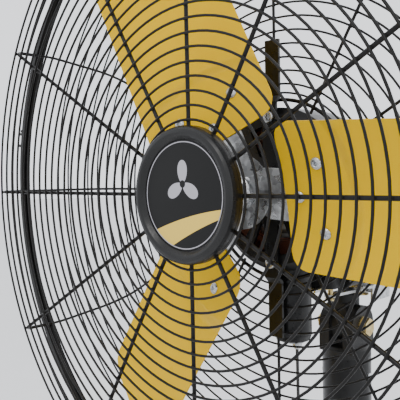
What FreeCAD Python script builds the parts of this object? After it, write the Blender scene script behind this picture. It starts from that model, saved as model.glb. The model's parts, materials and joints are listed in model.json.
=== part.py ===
"""Pedestal air circulator, 600 mm class: base and telescopic column, tilting yoke, oscillating head
with wire guards, induction motor and gearbox, and a rotor with three sheet-metal blades.

Frame: millimetres, +Z up, origin on the floor under the column's axis, the fan blows towards -Y.
Head pieces are drawn about the fan's axis, from the front guard's face backwards, and then placed.
"""
import FreeCAD
import Part
import Sketcher

import math
import os
import re

Vector = FreeCAD.Vector
Rotation = FreeCAD.Rotation

SIZES = {
    # overall
    "axis_height": 1150.0,
    "setback": 262.0,
    "running_gap": 0.3,
    "fit_gap": 0.05,
    # base and column
    "foot_height": 8.0,
    "foot_radius": 16.0,
    "foot_circle": 196.0,
    "base_radius": 225.0,
    "base_edge": 12.0,
    "base_crown": 22.0,
    "base_crown_radius": 95.0,
    "base_wall": 7.0,
    "flange_radius": 80.0,
    "flange_thick": 6.0,
    "flange_bolt_circle": 62.0,
    "bolt_radius": 5.0,
    "socket_height": 70.0,
    "socket_wall": 4.5,
    "column_radius": 35.0,
    "column_wall": 2.5,
    "column_top": 600.0,
    "collar_wall": 9.0,
    "collar_length": 52.0,
    "collar_lip": 10.0,
    "bush_length": 60.0,
    "lock_drop": 16.0,
    "lock_screw_radius": 4.9,
    "lock_knob_radius": 24.0,
    "lock_knob_thick": 20.0,
    "mast_radius": 28.5,
    "mast_wall": 2.0,
    "mast_bottom": 100.0,
    "plug_length": 34.0,
    # neck and tilt
    "tilt_drop": 164.0,
    "neck_drop": 200.0,
    "neck_ring": 12.0,
    "spigot_length": 50.0,
    "cheek_radius": 24.0,
    "cheek_thick": 13.0,
    "tongue_thick": 18.0,
    "tongue_radius": 20.0,
    "tilt_bolt_radius": 6.0,
    "boss_radius": 15.5,
    "plate_drop": 113.0,
    "plate_thick": 3.0,
    "plate_half_width": 40.0,
    "plate_flange": 16.0,
    "pin_radius": 8.0,
    "stud_radius": 3.0,
    "stud_offset": 22.0,
    # guards
    "ring_wire": 1.2,
    "rib_wire": 1.9,
    "first_ring": 66.2,
    "ring_pitch": 12.5,
    "hub_ring": 60.0,
    "cage_radius": 333.5,
    "knee_radius": 9.0,
    "rear_wire": 1.05,
    "rear_rib_wire": 1.5,
    "rear_face": 131.0,
    "rear_first_ring": 92.0,
    "rear_pitch": 12.7,
    "rear_flat_radius": 255.0,
    "rear_bend": 60.0,
    "rear_turn": 60.0,
    "rim_wire": 1.9,
    "rim_front": 35.5,
    "band_wall": 1.8,
    "clamp_turn": 101.0,
    # badge
    "badge_radius": 61.0,
    "badge_front": 11.0,
    "badge_face": 6.0,
    "label_radius": 48.5,
    "label_thick": 0.8,
    # motor
    "motor_front": 121.0,
    "motor_rear": 203.0,
    "motor_radius": 84.0,
    "shell_wall": 3.0,
    "bearing_radius": 16.0,
    "bearing_width": 10.0,
    "shaft_radius": 6.0,
    "shaft_nose": 62.0,
    "core_front": 143.0,
    "core_rear": 184.0,
    "air_gap": 0.5,
    "rotor_core_radius": 45.5,
    # rotor
    "blade_plane": 70.0,
    "blade_pitch": 16.6,
    "rotor_turn": -3.0,
    "blade_tip": 308.0,
    "blade_root": 55.0,
    "blade_half_width": 70.0,
    "blade_thick": 1.5,
    "camber_radius": 380.0,
    "arm_half_width": 25.0,
    "arm_thick": 2.0,
    "arm_tip": 104.0,
    "hub_radius": 17.0,
    "web_radius": 36.0,
    "rivet_radius": 2.9,
    "rivet_inner": 70.0,
    "rivet_outer": 93.0,
    "rivet_spread": 32.0,
    # gearbox
    "box_half_width": 40.0,
    "box_top": 34.0,
    "box_drop": 108.0,
    "box_rear": 288.0,
    "box_wall": 3.5,
    "nose_front": 180.0,
    "nose_half_width": 32.0,
    "nose_top_drop": 86.0,
    "crank_y": 206.0,
    "crank_arm": 14.0,
    "crank_gear_radius": 20.0,
    "spindle_x": 21.0,
    "spindle_y": 225.5,
    "pinion_radius": 8.0,
    "wheel_radius": 14.5,
    "worm_radius": 6.2,
    "spindle_radius": 4.0,
    "clutch_radius": 10.0,
    "gland_radius": 7.0,
    "gland_side": 22.0,
    "gland_drop": 62.0,
    # switch
    "cup_y": 154.0,
    "cup_radius": 20.0,
    "cup_drop": 162.0,
    "nozzle_y": 161.0,
    "cord_radius": 1.7,
    "cord_length": 260.0,
}

doc = FreeCAD.newDocument("PedestalFan")
sheet = doc.addObject("Spreadsheet::Sheet", "Sizes")
nodes = []
case_screws = []


def fill_sheet():
    for row, (name, size) in enumerate(SIZES.items(), start=1):
        sheet.set(f"A{row}", name)
        sheet.set(f"B{row}", str(size))
        sheet.setAlias(f"B{row}", name)
    doc.recompute()


def bound(text):
    """An expression with each size's name pointed at the sheet."""
    return re.sub(r"[a-z_]+", lambda word: "Sizes." + word[0] if word[0] in SIZES else word[0], str(text))


def value(text):
    return float(sheet.evalExpression(bound(text)))


def bind(thing, **sizes):
    for name, text in sizes.items():
        thing.setExpression(name, bound(text))
    return thing


def place(thing, x="0", y="0", z="0", rotation=None):
    """Puts a thing at a bound place; the rotation is set once."""
    thing.Placement = FreeCAD.Placement(Vector(value(x), value(y), value(z)), rotation or Rotation())
    for axis, text in (("x", x), ("y", y), ("z", z)):
        thing.setExpression(f"Placement.Base.{axis}", bound(text))
    return thing


def keep(thing, label):
    """Registers a finished sub-part under its node name."""
    thing.Label = label
    nodes.append(thing)
    return thing


def on_head(thing, label):
    return keep(place(thing, "0", "-setback", "axis_height"), label)


def cylinder(radius, height, x="0", y="0", z="0", rotation=None):
    return place(bind(doc.addObject("Part::Cylinder", "Cylinder"), Radius=radius, Height=height), x, y, z,
                 rotation)


def cone(radius_low, radius_high, height, x="0", y="0", z="0", rotation=None):
    thing = bind(doc.addObject("Part::Cone", "Cone"), Radius1=radius_low, Radius2=radius_high,
                 Height=height)
    return place(thing, x, y, z, rotation)


def box(length, width, height, x="0", y="0", z="0", rotation=None):
    thing = bind(doc.addObject("Part::Box", "Box"), Length=length, Width=width, Height=height)
    return place(thing, x, y, z, rotation)


def hexagon(across_flats, height, x="0", y="0", z="0", rotation=None):
    thing = doc.addObject("Part::Prism", "Prism")
    thing.Polygon = 6
    bind(thing, Circumradius=f"({across_flats}) / 1.7320508", Height=height)
    return place(thing, x, y, z, rotation)


def ring(radius, wire, y="0"):
    thing = bind(doc.addObject("Part::Torus", "Ring"), Radius1=radius, Radius2=wire)
    return place(thing, "0", y, "0", ALONG_Y)


def cut(base, *tools):
    thing = doc.addObject("Part::Cut", "Cut")
    thing.Base = base
    thing.Tool = tools[0] if len(tools) == 1 else fuse(*tools)
    return thing


def fuse(*shapes):
    thing = doc.addObject("Part::MultiFuse", "Fuse")
    thing.Shapes = list(shapes)
    return thing


def common(one, other):
    thing = doc.addObject("Part::MultiCommon", "Common")
    thing.Shapes = [one, other]
    return thing


def group(*shapes):
    thing = doc.addObject("Part::Compound", "Group")
    thing.Links = list(shapes)
    return thing


def origin_item(body, role):
    return next(item for item in body.Origin.OriginFeatures if item.Role == role)


def outline(body, plane, points, offset="0"):
    """A closed sketch outline, each corner held by bound distances from the origin."""
    sketch = body.newObject("Sketcher::SketchObject", "Outline")
    sketch.AttachmentSupport = (origin_item(body, plane), "")
    sketch.MapMode = "FlatFace"
    sketch.setExpression("AttachmentOffset.Base.z", bound(offset))
    spots = [Vector(value(across), value(up), 0) for across, up in points]
    count = len(spots)
    for index in range(count):
        sketch.addGeometry(Part.LineSegment(spots[index], spots[(index + 1) % count]), False)
    for index in range(count):
        sketch.addConstraint(Sketcher.Constraint("Coincident", index, 2, (index + 1) % count, 1))
    for index, (across, up) in enumerate(points):
        for kind, text, number in (("DistanceX", across, spots[index].x),
                                   ("DistanceY", up, spots[index].y)):
            held = sketch.addConstraint(Sketcher.Constraint(kind, -1, 1, index, 1, number))
            sketch.setExpression(f"Constraints[{held}]", bound(text))
    return sketch


def new_body():
    return doc.addObject("PartDesign::Body", "Body")


def turned(points, plane="XZ_Plane"):
    """A piece turned about the sketch's upright axis: Z on the XZ plane, Y on the XY plane."""
    body = new_body()
    sketch = outline(body, plane, points)
    spin = body.newObject("PartDesign::Revolution", "Turned")
    spin.Profile = sketch
    spin.ReferenceAxis = (sketch, ["V_Axis"])
    spin.Angle = 360
    return body


def turned_on_fan_axis(points):
    """Points are (radius, distance behind the front guard's face)."""
    return turned(points, "XY_Plane")


def slab(points, low, high, plane="XY_Plane"):
    """An outline padded from low to high along +Z, or along +Y for the XZ plane."""
    body = new_body()
    backwards = plane == "XZ_Plane"
    sketch = outline(body, plane, points, f"-({low})" if backwards else low)
    pad = body.newObject("PartDesign::Pad", "Pad")
    pad.Profile = sketch
    pad.Reversed = backwards
    bind(pad, Length=f"({high}) - ({low})")
    return body


def rectangle(left, right, low, high):
    return [(left, low), (right, low), (right, high), (left, high)]


def soften(body, radius, picks):
    """A fillet on the edges that the test picks."""
    doc.recompute()
    shape = body.Tip.Shape
    names = [f"Edge{index}" for index, edge in enumerate(shape.Edges, start=1) if picks(edge)]
    fillet = body.newObject("PartDesign::Fillet", "Fillet")
    fillet.Base = (body.Tip if body.Tip is not fillet else fillet.BaseFeature, names)
    bind(fillet, Radius=radius)
    body.Tip = fillet
    return body


def lies_along(axis):
    def test(edge):
        if len(edge.Vertexes) != 2:
            return False
        run = (edge.Vertexes[1].Point - edge.Vertexes[0].Point).normalize()
        return abs(abs(run.dot(axis)) - 1) < 1e-6
    return test


def toothed(radius, teeth, width):
    """A spur gear: a root disc and one tooth repeated round it."""
    body = new_body()
    disc = body.newObject("Sketcher::SketchObject", "Root")
    disc.AttachmentSupport = (origin_item(body, "XY_Plane"), "")
    disc.MapMode = "FlatFace"
    depth = f"(2.2 * ({radius}) / {teeth})"
    disc.addGeometry(Part.Circle(Vector(0, 0, 0), Vector(0, 0, 1), value(f"({radius}) - {depth}")), False)
    disc.addConstraint(Sketcher.Constraint("Coincident", 0, 3, -1, 1))
    held = disc.addConstraint(Sketcher.Constraint("Radius", 0, value(f"({radius}) - {depth}")))
    disc.setExpression(f"Constraints[{held}]", bound(f"({radius}) - {depth}"))
    pad = body.newObject("PartDesign::Pad", "RootPad")
    pad.Profile = disc
    bind(pad, Length=width)
    half = f"(1.25 * ({radius}) / {teeth})"
    root = f"(({radius}) - 1.4 * {depth})"
    tip = f"(({radius}) + 0.75 * {depth})"
    tooth = outline(body, "XY_Plane", [(root, f"-{half} * 1.3"), (tip, f"-{half} * 0.55"),
                                       (tip, f"{half} * 0.55"), (root, f"{half} * 1.3")])
    bump = body.newObject("PartDesign::Pad", "Tooth")
    bump.Profile = tooth
    bind(bump, Length=width)
    pattern = body.newObject("PartDesign::PolarPattern", "Teeth")
    pattern.Originals = [bump]
    pattern.Axis = (origin_item(body, "Z_Axis"), [""])
    pattern.Angle = 360
    pattern.Occurrences = teeth
    body.Tip = pattern
    return body


def bent_wire(corners, wire, count):
    """A round wire through rounded corners (radius, depth, bend), repeated round the fan's axis."""
    body = new_body()
    body.AllowCompound = True
    path = body.newObject("Sketcher::SketchObject", "Path")
    path.AttachmentSupport = (origin_item(body, "XY_Plane"), "")
    path.MapMode = "FlatFace"
    spots = [Vector(value(out), value(back), 0) for out, back, _ in corners]
    for start, end in zip(spots, spots[1:]):
        path.addGeometry(Part.LineSegment(start, end), False)
    for index in range(len(spots) - 2):
        path.addConstraint(Sketcher.Constraint("Coincident", index, 2, index + 1, 1))
    for index, (out, back, _) in enumerate(corners):
        line, end = (index, 1) if index < len(spots) - 1 else (index - 1, 2)
        for kind, text, number in (("DistanceX", out, spots[index].x),
                                   ("DistanceY", back, spots[index].y)):
            held = path.addConstraint(Sketcher.Constraint(kind, -1, 1, line, end, number))
            path.setExpression(f"Constraints[{held}]", bound(text))
    for index in range(1, len(spots) - 1):
        bend = corners[index][2]
        path.fillet(index - 1, 2, value(bend), True, True)
        arcs = [number for number, curve in enumerate(path.Geometry)
                if isinstance(curve, Part.ArcOfCircle)]
        arc = arcs[-1]
        held = path.addConstraint(Sketcher.Constraint("Radius", arc, value(bend)))
        path.setExpression(f"Constraints[{held}]", bound(bend))
    section = body.newObject("Sketcher::SketchObject", "Section")
    section.AttachmentSupport = (origin_item(body, "YZ_Plane"), "")
    section.MapMode = "FlatFace"
    section.setExpression("AttachmentOffset.Base.z", bound(corners[0][0]))
    section.addGeometry(Part.Circle(Vector(value(corners[0][1]), 0, 0), Vector(0, 0, 1), value(wire)),
                        False)
    for kind, text in (("Radius", wire), ("DistanceX", corners[0][1])):
        target = (0,) if kind == "Radius" else (-1, 1, 0, 3)
        held = section.addConstraint(Sketcher.Constraint(kind, *target, value(text)))
        section.setExpression(f"Constraints[{held}]", bound(text))
    section.addConstraint(Sketcher.Constraint("PointOnObject", 0, 3, -1))
    pipe = body.newObject("PartDesign::AdditivePipe", "Wire")
    pipe.Profile = section
    pipe.Spine = path
    pattern = body.newObject("PartDesign::PolarPattern", "Wires")
    pattern.Originals = [pipe]
    pattern.Axis = (origin_item(body, "Y_Axis"), [""])
    pattern.Angle = 360
    pattern.Occurrences = count
    body.Tip = pattern
    return body


UPRIGHT = Rotation()
ALONG_Y = Rotation(Vector(1, 0, 0), -90)
ALONG_X = Rotation(Vector(0, 1, 0), 90)
QUARTERS = (45, 135, 225, 315)


def around(radius, angle):
    return f"({radius}) * cos({angle} deg)", f"({radius}) * sin({angle} deg)"


# ---------------------------------------------------------------- stand

def make_stand():
    base_top = "foot_height + base_crown"
    feet = [cylinder("foot_radius", "foot_height",
                     *around("foot_circle", 60 * turn)) for turn in range(6)]
    feet.append(cylinder("foot_radius", "foot_height"))
    keep(group(*feet), "base_feet")

    roof = "foot_height + base_crown - base_wall"
    hollow = ("base_crown_radius - 8", "foot_circle - foot_radius - 4")
    disc = turned([("0", "foot_height"), (hollow[0], "foot_height"), (hollow[0], roof),
                   ("base_crown_radius + 8", roof), (hollow[1], f"{roof} - 4"),
                   (hollow[1], "foot_height"),
                   ("base_radius", "foot_height"),
                   ("base_radius", "foot_height + base_edge"),
                   ("base_radius - 8", "foot_height + base_edge + 4"),
                   ("base_crown_radius + 10", base_top), ("0", base_top)])
    hole_depth = "(base_crown - 4)"
    holes = [cylinder("bolt_radius + fit_gap", "base_crown", *around("flange_bolt_circle", turn),
                      f"{base_top} - {hole_depth}") for turn in QUARTERS]
    keep(cut(disc, *holes), "base_plate")

    socket_inner = "column_radius + fit_gap"
    socket_outer = "column_radius + fit_gap + socket_wall"
    flange = turned([("0", base_top), ("flange_radius", base_top),
                     ("flange_radius", f"{base_top} + flange_thick - 2"),
                     ("flange_radius - 2", f"{base_top} + flange_thick"),
                     (f"{socket_outer} + 4", f"{base_top} + flange_thick"),
                     (socket_outer, f"{base_top} + flange_thick + 4"),
                     (socket_outer, f"{base_top} + socket_height"),
                     (socket_inner, f"{base_top} + socket_height"),
                     (socket_inner, f"{base_top} + flange_thick / 2"),
                     ("0", f"{base_top} + flange_thick / 2")])
    holes = [cylinder("bolt_radius + fit_gap", "flange_thick + 2", *around("flange_bolt_circle", turn),
                      f"{base_top} - 1") for turn in QUARTERS]
    keep(cut(flange, *holes), "column_flange")

    bolts = []
    seat = f"{base_top} + flange_thick"
    for turn in QUARTERS:
        x, y = around("flange_bolt_circle", turn)
        washer = cylinder("bolt_radius * 2", "1.6", x, y, seat)
        head = hexagon("bolt_radius * 3.4", "bolt_radius * 1.3", x, y, f"{seat} + 1.6")
        shank = cylinder("bolt_radius", f"flange_thick + {hole_depth}", x, y,
                         f"{base_top} - {hole_depth} + 1")
        bolts.append(fuse(washer, head, shank))
    keep(group(*bolts), "flange_bolts")

    lock_z = "column_top - lock_drop"
    hole = cylinder("lock_screw_radius + 0.4", "column_radius * 2", "0", "0", lock_z, ALONG_X)
    tube_inner = "column_radius - column_wall"
    tube = turned([(tube_inner, f"{base_top} + flange_thick / 2"),
                   ("column_radius", f"{base_top} + flange_thick / 2"),
                   ("column_radius", "column_top"), (tube_inner, "column_top")])
    keep(cut(tube, hole), "outer_column")

    collar_inner = "column_radius + fit_gap"
    collar_outer = "column_radius + collar_wall"
    collar_low = "column_top + collar_lip - collar_length"
    lip_inner = "mast_radius + 1.2"
    ring_part = turned([(collar_inner, collar_low), (f"{collar_outer} - 2", collar_low),
                        (collar_outer, f"{collar_low} + 2"),
                        (collar_outer, "column_top + collar_lip - 3"),
                        (f"{collar_outer} - 3", "column_top + collar_lip"),
                        (lip_inner, "column_top + collar_lip"),
                        (lip_inner, "column_top + 3.1"), (collar_inner, "column_top + 3.1")])
    boss = cylinder("lock_screw_radius + 7", "22", "column_radius + 2", "0", lock_z, ALONG_X)
    bore = cylinder("lock_screw_radius + 0.1", "60", "mast_radius", "0", lock_z, ALONG_X)
    keep(cut(fuse(ring_part, cut(boss, cylinder(collar_inner, "60", "0", "0", f"{lock_z} - 30"))), bore),
         "height_collar")

    bush_inner = "mast_radius + running_gap"
    bush = turned([(bush_inner, "column_top - bush_length"),
                   (f"{tube_inner} - fit_gap", "column_top - bush_length"),
                   (f"{tube_inner} - fit_gap", "column_top + fit_gap"),
                   ("column_radius", "column_top + fit_gap"),
                   ("column_radius", "column_top + 3"), (bush_inner, "column_top + 3")])
    keep(cut(bush, cylinder("lock_screw_radius + 0.4", "60", "0", "0", lock_z, ALONG_X)), "guide_bush")


def make_lock_knob():
    lock_z = "column_top - lock_drop"
    knob_x = "column_radius + 26"
    lobes = [cylinder("lock_knob_radius * 0.72", "lock_knob_thick", knob_x, "0", lock_z, ALONG_X)]
    for turn in range(5):
        y, z = around("lock_knob_radius * 0.68", 72 * turn)
        lobes.append(cylinder("lock_knob_radius * 0.32", "lock_knob_thick", knob_x, y, f"{lock_z} + {z}",
                              ALONG_X))
    blind = cylinder("lock_screw_radius + fit_gap", "14", knob_x, "0", lock_z, ALONG_X)
    keep(cut(fuse(*lobes), blind), "height_lock_knob")
    tip = "mast_radius + running_gap"
    screw = cylinder("lock_screw_radius", f"{knob_x} + 14 - ({tip})", tip, "0", lock_z, ALONG_X)
    keep(screw, "height_lock_screw")


# ---------------------------------------------------------------- mast

def make_mast():
    top = "axis_height - neck_drop"
    inner = "mast_radius - mast_wall"
    tube = turned([(inner, "mast_bottom"), ("mast_radius", "mast_bottom"), ("mast_radius", top),
                   (inner, top)])
    screw_z = f"{top} - 24"
    screw_hole = cylinder("3.1", "mast_radius * 2 + 10", "-mast_radius - 5", "0", screw_z, ALONG_X)
    keep(cut(tube, screw_hole), "inner_column")

    plug = turned([(f"{inner} - fit_gap - 4", "mast_bottom - 6"),
                   ("column_radius - column_wall - running_gap", "mast_bottom - 6"),
                   ("column_radius - column_wall - running_gap", "mast_bottom - fit_gap"),
                   (f"{inner} - fit_gap", "mast_bottom - fit_gap"),
                   (f"{inner} - fit_gap", "mast_bottom + plug_length"),
                   (f"{inner} - fit_gap - 4", "mast_bottom + plug_length")])
    keep(plug, "column_plug")

    pivot = "axis_height - tilt_drop"
    neck = turned([("0", f"{top} - spigot_length"), (f"{inner} - fit_gap", f"{top} - spigot_length"),
                   (f"{inner} - fit_gap", f"{top} + fit_gap"), ("mast_radius", f"{top} + fit_gap"),
                   ("mast_radius", f"{top} + neck_ring - 3"), ("mast_radius - 3", f"{top} + neck_ring"),
                   ("0", f"{top} + neck_ring")])
    half_gap = "(tongue_thick / 2 + running_gap)"
    cheeks = []
    for side in (1, -1):
        start = half_gap if side > 0 else f"-{half_gap} - cheek_thick"
        cheeks.append(cylinder("cheek_radius", "cheek_thick", start, "0", pivot, ALONG_X))
        cheeks.append(box("cheek_thick", "cheek_radius * 2", "neck_drop - tilt_drop - 6", start,
                          "-cheek_radius", f"{top} + 6"))
    bolt_bore = cylinder("tilt_bolt_radius + fit_gap", "120", "-60", "0", pivot, ALONG_X)
    neck_bore = cylinder("2.95", "mast_radius * 2 + 10", "-mast_radius - 5", "0", screw_z, ALONG_X)
    room = cylinder("tongue_radius + 1.2", "tongue_thick + 2 * running_gap", f"-{half_gap}", "0", pivot,
                    ALONG_X)
    keep(cut(fuse(neck, *cheeks), bolt_bore, neck_bore, room), "neck_casting")

    screws = []
    for side in (1, -1):
        toward = ALONG_X if side > 0 else Rotation(Vector(0, 1, 0), -90)
        shank = cylinder("2.9", "14", f"{side} * (mast_radius - 13)", "0", screw_z, toward)
        head = cone("5.6", "3.6", "3.2", f"{side} * (mast_radius + 0.2)", "0", screw_z, toward)
        neck_of_screw = cylinder("2.9", "2", f"{side} * (mast_radius - 0.5)", "0", screw_z, toward)
        screws.append(fuse(shank, head, neck_of_screw))
    keep(group(*screws), "neck_screws")

    cheek_face = f"({half_gap} + cheek_thick)"
    shank = cylinder("tilt_bolt_radius", f"2 * {cheek_face} + 16", f"-{cheek_face} - 14", "0", pivot,
                     ALONG_X)
    head = hexagon("tilt_bolt_radius * 3.1", "7", f"{cheek_face} + 2", "0", pivot, ALONG_X)
    keep(fuse(shank, head), "tilt_bolt")
    nut = cut(hexagon("tilt_bolt_radius * 3.1", "9", f"-{cheek_face} - 11", "0", pivot, ALONG_X),
              cylinder("tilt_bolt_radius + fit_gap", "20", f"-{cheek_face} - 16", "0", pivot, ALONG_X))
    keep(nut, "tilt_nut")
    washers = []
    for start in (cheek_face, f"-{cheek_face} - 2"):
        washers.append(cut(cylinder("tilt_bolt_radius * 2", "1.9", start, "0", pivot, ALONG_X),
                           cylinder("tilt_bolt_radius + fit_gap", "4", f"{start} - 1", "0", pivot,
                                    ALONG_X)))
    keep(group(*washers), "tilt_washers")


# ---------------------------------------------------------------- yoke

def make_yoke():
    pivot = "axis_height - tilt_drop"
    plate_top = "axis_height - plate_drop"
    plate_low = f"{plate_top} - plate_thick"
    tongue = cylinder("tongue_radius", "tongue_thick", "-tongue_thick / 2", "0", pivot, ALONG_X)
    stem = box("tongue_thick", "boss_radius * 2", "cheek_radius + 3", "-tongue_thick / 2", "-boss_radius",
               pivot)
    boss_low = "(cheek_radius + 1)"
    block_height = "(tilt_drop - plate_drop - plate_thick)"
    boss = cylinder("boss_radius", f"{block_height} - 11 - {boss_low}", "0", "0", f"{pivot} + {boss_low}")
    neck = cylinder("pin_radius + 1.6", f"{block_height} - fit_gap - {boss_low}", "0", "0",
                    f"{pivot} + {boss_low}")
    bore = cylinder("tilt_bolt_radius + fit_gap", "60", "-30", "0", pivot, ALONG_X)
    pin_bore = cylinder("pin_radius + fit_gap", "60", "0", "0", f"{plate_low} - 18")
    keep(cut(fuse(tongue, stem, boss, neck), bore, pin_bore), "tilt_block")

    front = "18"
    rear = "plate_half_width"
    top = soften(slab(rectangle("-plate_half_width", "plate_half_width", f"-{front}", rear), plate_low,
                      plate_top),
                 "9", lies_along(Vector(0, 0, 1)))
    walls = []
    for side in (1, -1):
        start = "plate_half_width - plate_thick" if side > 0 else "-plate_half_width"
        walls.append(box("plate_thick", f"{rear} + {front} - 18", "plate_flange", start, f"-{front} + 9",
                         f"{plate_low} - plate_flange + 0.5"))
    walls.append(box("plate_half_width * 2 - 18", "plate_thick", "plate_flange", "-plate_half_width + 9",
                     f"{rear} - plate_thick", f"{plate_low} - plate_flange + 0.5"))
    holes = [cylinder("pin_radius + fit_gap", "20", "0", "0", f"{plate_low} - 5"),
             cylinder("stud_radius + fit_gap", "20", "stud_offset", "0", f"{plate_low} - 5")]
    keep(cut(fuse(top, *walls), *holes), "swivel_plate")

    pin_top = "axis_height - box_drop + 38"
    keep(cylinder("pin_radius", f"({pin_top}) - ({plate_low}) + 17", "0", "0", f"{plate_low} - 17"),
         "swivel_pin")
    stud = fuse(cylinder("stud_radius", "12", "stud_offset", "0", f"{plate_low} - 9.5"),
                cylinder("stud_radius * 2.3", "1.6", "stud_offset", "0", f"{plate_low} - 10.5"))
    keep(stud, "link_stud")
    washer = cut(cylinder("pin_radius + 9", "plate_drop - box_drop - 2 * running_gap", "0", "0",
                          f"{plate_top} + fit_gap"),
                 cylinder("pin_radius + fit_gap", "20", "0", "0", f"{plate_top} - 5"))
    keep(washer, "thrust_washer")


# ---------------------------------------------------------------- guards

RIBS = 12
FRONT_RINGS = 22
REAR_RINGS = 11


def make_front_guard():
    rib_depth = "ring_wire + rib_wire + fit_gap"
    rib = bent_wire([("40", rib_depth, "0"), ("cage_radius", rib_depth, "knee_radius"),
                     ("cage_radius", "rim_front + rim_wire", "0")], "rib_wire", RIBS)
    side_ring = ring("cage_radius + rib_wire + ring_wire + fit_gap", "ring_wire", "rim_front - 16")
    rim_ring = ring("cage_radius + rib_wire + rim_wire + fit_gap", "rim_wire", "rim_front")
    on_head(group(rib, side_ring, rim_ring), "front_guard_frame")
    rings = [ring("hub_ring", "ring_wire")]
    for index in range(FRONT_RINGS):
        rings.append(ring(f"first_ring + {index} * ring_pitch", "ring_wire"))
    on_head(group(*rings), "front_guard_rings")


def make_rear_guard():
    """Flat at the back, bent forwards by rear_turn degrees, then straight along the axis to the rim."""
    rib_depth = "rear_face - rear_wire - rear_rib_wire - fit_gap"
    first = "(rear_flat_radius + rear_bend * tan(rear_turn * 0.5 deg))"
    second_depth = f"({rib_depth} - (cage_radius - {first}) * tan(rear_turn * 1 deg))"
    rib = bent_wire([("rear_first_ring - 6", rib_depth, "0"), (first, rib_depth, "rear_bend"),
                     ("cage_radius", second_depth, "40"),
                     ("cage_radius", "rim_front + rim_wire + 1", "0")],
                    "rear_rib_wire", RIBS)
    rings = [ring("rear_first_ring", "rim_wire", "rear_face + rim_wire - rear_wire"),
             ring("rear_first_ring + 7", "rear_wire", "rear_face")]
    for index in range(REAR_RINGS + 1):
        step = f"{index} * (rear_flat_radius - rear_first_ring - 16) / {REAR_RINGS}"
        rings.append(ring(f"rear_first_ring + 16 + {step}", "rear_wire", "rear_face"))
    on_head(group(*rings), "rear_guard_rings")
    rings = []
    clear = "(rear_bend + rear_rib_wire + rear_wire + fit_gap)"
    for share in (0.2, 0.4, 0.6, 0.8, 1.0):
        angle = f"(rear_turn * {share} deg)"
        rings.append(ring(f"rear_flat_radius + {clear} * sin{angle}", "rear_wire",
                          f"{rib_depth} - rear_bend + {clear} * cos{angle}"))
    edge = "(rear_turn * 1 deg)"
    for along in (1, 2):
        reach = f"rear_flat_radius + {clear} * sin{edge} + {along} * rear_pitch * cos{edge}"
        depth = f"{rib_depth} - rear_bend + {clear} * cos{edge} - {along} * rear_pitch * sin{edge}"
        rings.append(ring(reach, "rear_wire", depth))
    rings.append(ring("cage_radius + rear_rib_wire + rim_wire + fit_gap", "rim_wire",
                      "rim_front + 2 * rim_wire + 1"))
    on_head(group(rib, *rings), "rear_guard_frame")


def make_band():
    lip = "cage_radius + rib_wire + 0.4"
    inner = "cage_radius + rib_wire + 2 * rim_wire + 2 * fit_gap"
    outer = f"{inner} + band_wall"
    low = "rim_front - rim_wire - 0.2"
    high = "rim_front + 3 * rim_wire + 1.2"
    band = turned_on_fan_axis([(lip, f"{low} - 1.2"), (outer, f"{low} - 1.2"), (outer, f"{high} + 1.2"),
                               (lip, f"{high} + 1.2"), (lip, high), (inner, high), (inner, low),
                               (lip, low)])
    on_head(band, "rim_band")
    lug_low = f"-({outer}) - 8.3"
    lugs = [box("3", "9", "8", x, "rim_front - 2.5", lug_low) for x in ("-9", "6")]
    screw = cylinder("1.9", "26", "-13", "rim_front + 2", f"{lug_low} + 4", ALONG_X)
    head = cylinder("3.6", "3", "-13", "rim_front + 2", f"{lug_low} + 4", ALONG_X)
    clamp = fuse(*lugs, screw, head)
    clamp.Placement = FreeCAD.Placement(Vector(0, 0, 0), Rotation(Vector(0, 1, 0), value("clamp_turn")))
    on_head(group(clamp), "band_clamp")


def make_badge():
    back = "-ring_wire - 0.1"
    shell = turned_on_fan_axis([("0", "-badge_face + label_thick"),
                                ("label_radius + 0.3", "-badge_face + label_thick"),
                                ("label_radius + 0.3", "-badge_face"),
                                ("badge_radius - 10", "-badge_front + 1.5"),
                                ("badge_radius - 7.5", "-badge_front"),
                                ("badge_radius - 4.5", "-badge_front"),
                                ("badge_radius - 1.5", "-badge_front + 2"),
                                ("badge_radius", "-badge_front + 5"),
                                ("badge_radius", back), ("0", back)])
    posts = [cylinder("4", "8", *flat, ALONG_Y) for flat in badge_screw_spots("-4")]
    bores = [cylinder("1.6", "10", *flat, ALONG_Y) for flat in badge_screw_spots("-2")]
    on_head(cut(fuse(shell, *posts), *bores), "badge_disc")
    label = turned_on_fan_axis([("0", "-badge_face"), ("label_radius", "-badge_face"),
                                ("label_radius", "-badge_face + label_thick - 0.02"),
                                ("0", "-badge_face + label_thick - 0.02")])
    on_head(label, "badge_label")
    plate_front = "ring_wire + 2 * rib_wire + 2 * fit_gap"
    plate = turned_on_fan_axis([("0", plate_front), ("52", plate_front), ("52", f"{plate_front} + 2"),
                                ("0", f"{plate_front} + 2")])
    holes = [cylinder("1.7", "10", *flat, ALONG_Y) for flat in badge_screw_spots("2")]
    on_head(cut(plate, *holes), "badge_back_plate")
    for x, _, z in badge_screw_spots("0"):
        shank = cylinder("1.5", f"({plate_front}) + 3", x, "-1", z, ALONG_Y)
        head = cone("3", "1.8", "1.8", x, f"{plate_front} + 2 + fit_gap", z, ALONG_Y)
        case_screws.append(fuse(shank, head))


def badge_screw_spots(y):
    """Three screw places between the ribs, as x, y, z."""
    spots = []
    for turn in (45, 165, 285):
        x, z = around("30", turn)
        spots.append((x, y, z))
    return spots


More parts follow.
